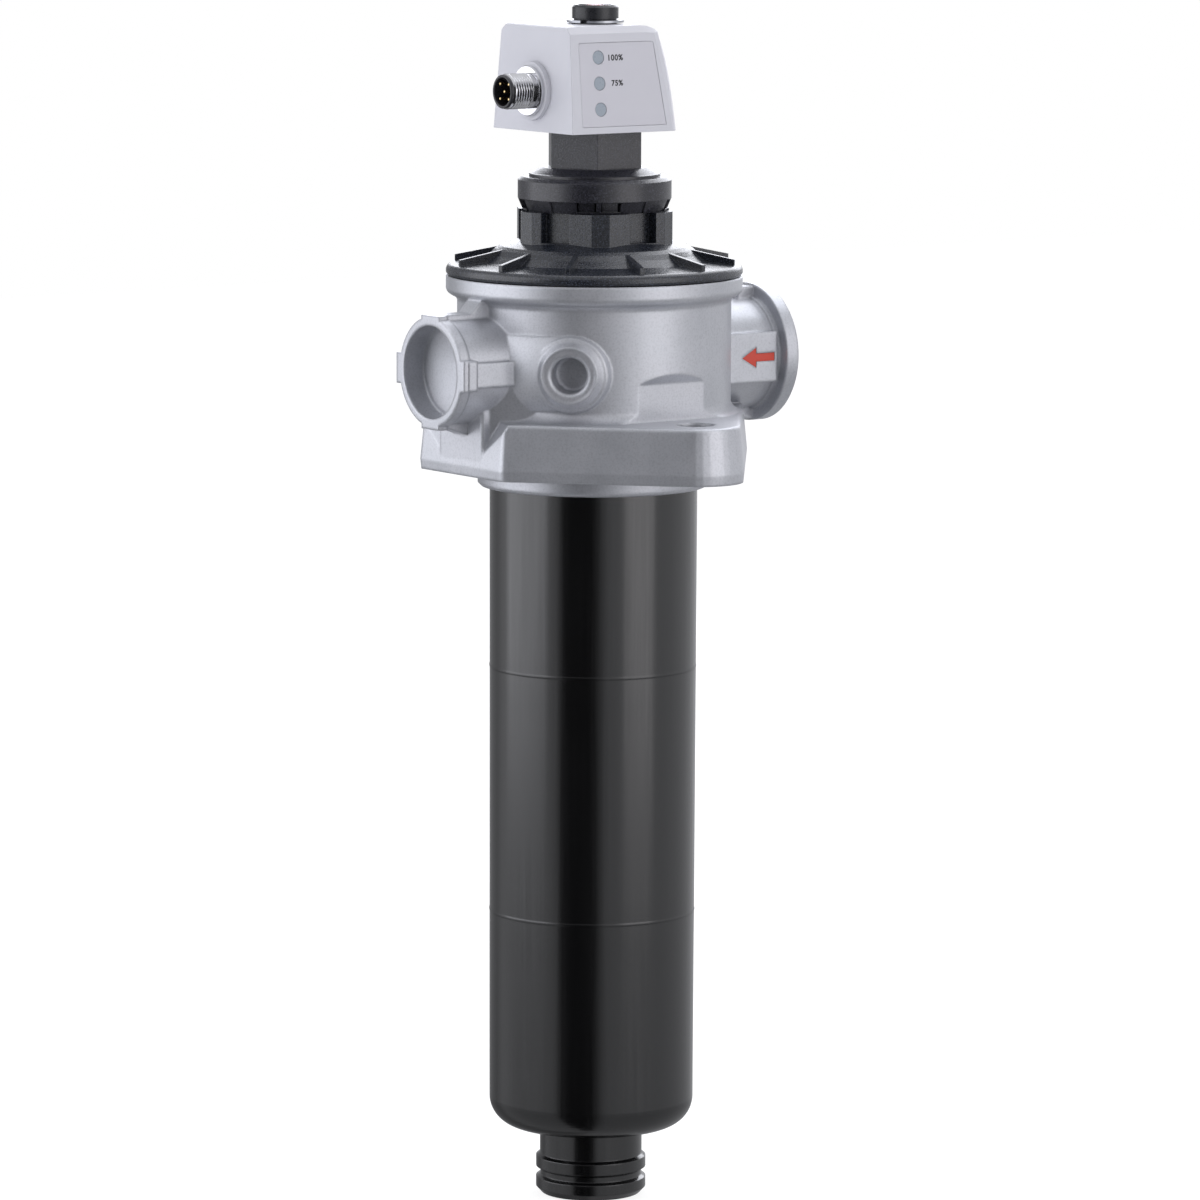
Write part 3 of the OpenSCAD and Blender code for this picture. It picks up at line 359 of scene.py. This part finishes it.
def contact_pin_set():
    """Five gold-plated pins with domed tips, one in the middle and four round it."""
    low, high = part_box("contact_pins")
    centre = (low + high) / 2
    sides, steps = 20, 5                        # round each pin and over its dome
    radius, spread, dome = 0.5 * MM, 2.47 * MM, 0.3 * MM
    profile = [(high.x, radius)]
    for k in range(steps + 1):
        t = math.pi / 2 * k / steps
        profile.append((low.x + dome - dome * math.sin(t), radius - dome + dome * math.cos(t)))
    points, faces = [], []
    for y, z in ((0, 0), (1, 1), (-1, 1), (-1, -1), (1, -1)):
        first = len(points)
        for x, r in profile:
            points += [(x, centre.y + y * spread + r * math.cos(math.tau * k / sides),
                        centre.z + z * spread + r * math.sin(math.tau * k / sides))
                       for k in range(sides)]
        for i in range(len(profile) - 1):
            a, b = first + i * sides, first + (i + 1) * sides
            faces += [(a + k, a + (k + 1) % sides, b + (k + 1) % sides, b + k)
                      for k in range(sides)]
        tip = first + (len(profile) - 1) * sides
        faces += [tuple(range(first, first + sides))[::-1], tuple(range(tip, tip + sides))]
    mesh = bpy.data.meshes.new("contact_pin_set")
    mesh.from_pydata(points, [], faces)
    return mesh


def crowned(node):
    """A copy of a box part whose inlet side and upper corner curve as the real moulding does."""
    low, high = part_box("switch_housing")
    foot, tall = low.z / MM, (high.z - low.z) / MM
    # in mm: the film's edge and the box's inlet side, which lean in by a share of the height
    film_x, film_foot, film_lean = 13.1, 2.2, 0.1355
    side_x, side_lean = 16.7, 0.149
    # from just past the film the side moves out by push, and by belly more at half height
    push, belly, start = 1.66, 0.85, 0.3
    # the upper edge drops along a share of a quarter circle, which fades out further down
    corner, corner_share, corner_depth = 8.0, 0.33, 14.0

    data = nodes[node].data.copy()
    shape = bmesh.new()
    shape.from_mesh(data)
    cuts = [((1, 0, film_lean), (film_x + past, 0, foot + film_foot))
            for past in (-4, -2.8, -1.8, -0.9, 0.3, 0.55, 0.8, 1.05, 1.3, 2, 2.6, 3.2)]
    cuts += [((0, 0, 1), (0, 0, foot + up))
             for up in (4, 8, 12, 16, 20, 24, 27, 29, 31, 32.3, 33.4, 34.3)]
    for normal, at in cuts:
        bmesh.ops.bisect_plane(shape, geom=shape.verts[:] + shape.edges[:] + shape.faces[:],
                               dist=1e-7, plane_co=Vector(at) * MM, plane_no=normal)
    for vert in shape.verts:
        x, up = vert.co.x / MM, vert.co.z / MM - foot
        share = min(max(up / tall, 0.0), 1.0)
        past_film = x - film_x + film_lean * (up - film_foot)
        near = min(max(past_film - start, 0.0), 1.0)
        out = (push + belly * math.sin(math.pi * share)) * near
        side_now = side_x - side_lean * tall * share + push
        reach = min(max(x + out - (side_now - corner), 0.0), corner)
        drop = corner - math.sqrt(corner ** 2 - reach ** 2)
        fade = max(1 - (tall - up) / corner_depth, 0.0) ** 1.5
        vert.co.x += out * MM
        vert.co.z -= corner_share * drop * fade * MM
    shape.to_mesh(data)
    shape.free()
    return data


def on_front_face(x, up):
    """Where a print stands on the switch box's leaning front, counted from its lower edge."""
    low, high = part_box("switch_housing")
    lean = math.radians(5.56)
    film_depth = 0.1 * MM
    foot = Matrix.Translation((0, low.y, low.z)) @ Matrix.Rotation(-lean, 4, "X")
    upright = Matrix.Rotation(math.pi / 2, 4, "X")
    return foot @ Matrix.Translation((x * MM, film_depth, up * MM)) @ upright


dress("threaded_plug_shell", threaded_plug(), "nickel", "switch_box", "connector_shell")
dress("domed_contact_pins", contact_pin_set(), "gold", "switch_box", "contact_pins")
for name, node in (("crowned_housing", "switch_housing"), ("crowned_base", "housing_base")):
    dress(name, crowned(node), "box_plastic", "switch_box", node)

# the two coil springs, copied from their parts, riding on the filter and the cover
lower, upper = 0, 1
for name, node, body, joint, fixed in (
        ("bypass_coil", "bypass_spring", "filter", "bypass_open", lower),
        ("indicator_coil", "indicator_spring", "cover", "indicator_pop", upper)):
    coil = dress(name, nodes[node].data.copy(), "spring_steel", body, node)
    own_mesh(coil)

# the two generic figures of the indicator's scale, printed on the film
for words, x, up, size in (("100%", -9.7, 24.1, 2.7), ("75%", -8.5, 15.75, 2.6)):
    figure = bpy.data.curves.new("scale_figures", "FONT")
    figure.body = words
    figure.size = size * MM
    figure.offset = 0.075 * MM
    figure.space_character = 1.12
    figure.extrude = 0.02 * MM
    dress("scale_" + words.strip("%"), figure, "label_film", "switch_box", material=ink,
          place=on_front_face(x, up))


# Camera, lamps, room and floor

def look(azimuth, elevation, distance, aim, roll=0):
    """Stands off the aim point and faces it; roll is how far the picture leans clockwise."""
    a, e, r = (math.radians(v) for v in (azimuth, elevation, roll))
    back = Vector((math.sin(a) * math.cos(e), -math.cos(a) * math.cos(e), math.sin(e)))
    right = Vector((math.cos(a), math.sin(a), 0))
    up = back.cross(right)
    leaning = right * math.cos(r) + up * math.sin(r)
    upright = up * math.cos(r) - right * math.sin(r)
    place = Matrix((leaning, upright, back)).transposed().to_4x4()
    place.translation = Vector(aim) + back * distance
    return place


# the camera, fitted to the photograph
lens = bpy.data.cameras.new("camera")
lens.sensor_width = 36
lens.lens = 204.6
lens.clip_end = 20
lens.shift_x = 7.0 / PHOTO_WIDTH
lens.shift_y = -2.5 / PHOTO_WIDTH
camera = bpy.data.objects.new("camera", lens)
camera.matrix_world = look(-35.6, 7.7, 2.3, (0, 0, -0.045), roll=0.23)
scene.collection.objects.link(camera)
scene.camera = camera

# softboxes: azimuth and elevation in degrees, distance and size in metres, power in watts
for name, azimuth, elevation, distance, size, power, tint in (
        ("left_box", -117, 16, 1.6, (1.9, 1.6), 13.2, "#f8f9ff"),
        ("right_box", 17, 14, 1.6, (1.1, 1.5), 6, "#fffcfe"),
        ("back_box", 136, 25, 1.6, (1.2, 1.0), 12, "#f6f8ff"),
        ("top_box", 115, 66, 1.4, (1.2, 1.2), 8, "#f6f8ff")):
    lamp = bpy.data.lights.new(name, "AREA")
    lamp.color = paint(tint)[:3]
    lamp.shape = "RECTANGLE"
    lamp.size, lamp.size_y = size
    lamp.energy = power
    box = bpy.data.objects.new(name, lamp)
    box.matrix_world = look(azimuth, elevation, distance, (0, 0, -0.05))
    scene.collection.objects.link(box)

# the room: pale walls all round, an unlit stretch before the filter and a dimmer one behind it
world = bpy.data.worlds.new("studio")
scene.world = world
world.use_nodes = True
tree = world.node_tree
tree.nodes.clear()
path = add(tree, "ShaderNodeLightPath")
seen = add(tree, "ShaderNodeMath", {0: path.outputs["Is Camera Ray"],
                                    1: path.outputs["Is Transmission Ray"]},
           operation="MAXIMUM")
toward = add(tree, "ShaderNodeTexCoord").outputs["Generated"]
level = add(tree, "ShaderNodeVectorMath", {0: toward, 1: (1.0, 1.0, 0.0)}, operation="MULTIPLY")
course = add(tree, "ShaderNodeVectorMath", {0: level.outputs[0]}, operation="NORMALIZE")
height = add(tree, "ShaderNodeSeparateXYZ", {"Vector": toward}).outputs["Z"]


def stretch(azimuth, ahead, low, high, full):
    """Rises from 0 to full over how far a direction lies ahead of an azimuth, or right of it."""
    a = math.radians(azimuth)
    axis = (math.sin(a), -math.cos(a), 0.0) if ahead else (math.cos(a), math.sin(a), 0.0)
    lies = add(tree, "ShaderNodeVectorMath", {0: course.outputs[0], 1: axis},
               operation="DOT_PRODUCT")
    return add(tree, "ShaderNodeMapRange", {"Value": lies.outputs["Value"], "From Min": low,
                                            "From Max": high, "To Max": full},
               interpolation_type="SMOOTHSTEP").outputs["Result"]


# both stretches fade out towards the ceiling
walls = add(tree, "ShaderNodeMapRange", {"Value": height, "From Min": 0.4, "From Max": 0.75,
                                         "To Min": 1.0, "To Max": 0.0},
            interpolation_type="SMOOTHSTEP").outputs["Result"]
# the one before the filter has a sharp edge on its left and a soft one on its right
before, behind = -46, 176
sharp = stretch(before, False, -0.5, -0.42, walls)
both = stretch(before, False, 0.48, 0.2, sharp)
front = stretch(before, True, 0.0, 0.01, both)
rear = stretch(behind, True, math.cos(math.radians(30)), math.cos(math.radians(10)), walls)
front_level = add(tree, "ShaderNodeMapRange", {"Value": front, "To Min": 0.8, "To Max": 0.03})
rear_level = add(tree, "ShaderNodeMapRange", {"Value": rear, "To Min": 1.0, "To Max": 0.45})
# less light comes up from the floor
floor_level = add(tree, "ShaderNodeMapRange", {"Value": height, "From Min": -0.26,
                                               "From Max": -0.14, "To Min": 0.55, "To Max": 1.0},
                  interpolation_type="SMOOTHSTEP")
round_about = add(tree, "ShaderNodeMath", {0: front_level.outputs["Result"],
                                           1: rear_level.outputs["Result"]},
                  operation="MULTIPLY")
strength = add(tree, "ShaderNodeMath", {0: round_about.outputs[0],
                                        1: floor_level.outputs["Result"]},
               operation="MULTIPLY")
room = add(tree, "ShaderNodeBackground", {"Color": paint("#f3f4f8"),
                                          "Strength": strength.outputs[0]})
white = add(tree, "ShaderNodeBackground", {"Color": (1, 1, 1, 1), "Strength": 1.0})
sky = add(tree, "ShaderNodeMixShader", {0: seen.outputs[0], 1: room.outputs[0],
                                        2: white.outputs[0]})
add(tree, "ShaderNodeOutputWorld", {"Surface": sky.outputs[0]})

# a white sheet under the filter that keeps its shadow and melts into the background
half = 3.0
low = cad_box[0][2] - 0.5 * MM
ground = bpy.data.meshes.new("floor")
ground.from_pydata([(-half, -half, low), (half, -half, low), (half, half, low),
                    (-half, half, low)], [], [(0, 1, 2, 3)])
floor = bpy.data.objects.new("floor", ground)
scene.collection.objects.link(floor)
paper = bpy.data.materials.new("white_paper")
paper.use_nodes = True
tree = paper.node_tree
tree.nodes.clear()
path = add(tree, "ShaderNodeLightPath")
seen = add(tree, "ShaderNodeMath", {0: path.outputs["Is Camera Ray"],
                                    1: path.outputs["Is Transmission Ray"]},
           operation="MAXIMUM")
sheet = add(tree, "ShaderNodeBsdfDiffuse", {"Color": paint("#f2f3f5")})
# to the eye: mostly its own white, and a little of the light that falls on it
faint = add(tree, "ShaderNodeBsdfDiffuse", {"Color": (0.24, 0.24, 0.24, 1.0)})
glow = add(tree, "ShaderNodeEmission", {"Color": (1, 1, 1, 1), "Strength": 0.87})
bright = add(tree, "ShaderNodeAddShader", {0: faint.outputs[0], 1: glow.outputs[0]})
clear = add(tree, "ShaderNodeBsdfTransparent")
lit = add(tree, "ShaderNodeMixShader", {0: seen.outputs[0], 1: sheet.outputs[0],
                                        2: bright.outputs[0]})
mixed = add(tree, "ShaderNodeMixShader", {0: path.outputs["Is Glossy Ray"], 1: lit.outputs[0],
                                          2: clear.outputs[0]})
add(tree, "ShaderNodeOutputMaterial", {"Surface": mixed.outputs[0]})
ground.materials.append(paper)

scene.view_settings.view_transform = "Standard"
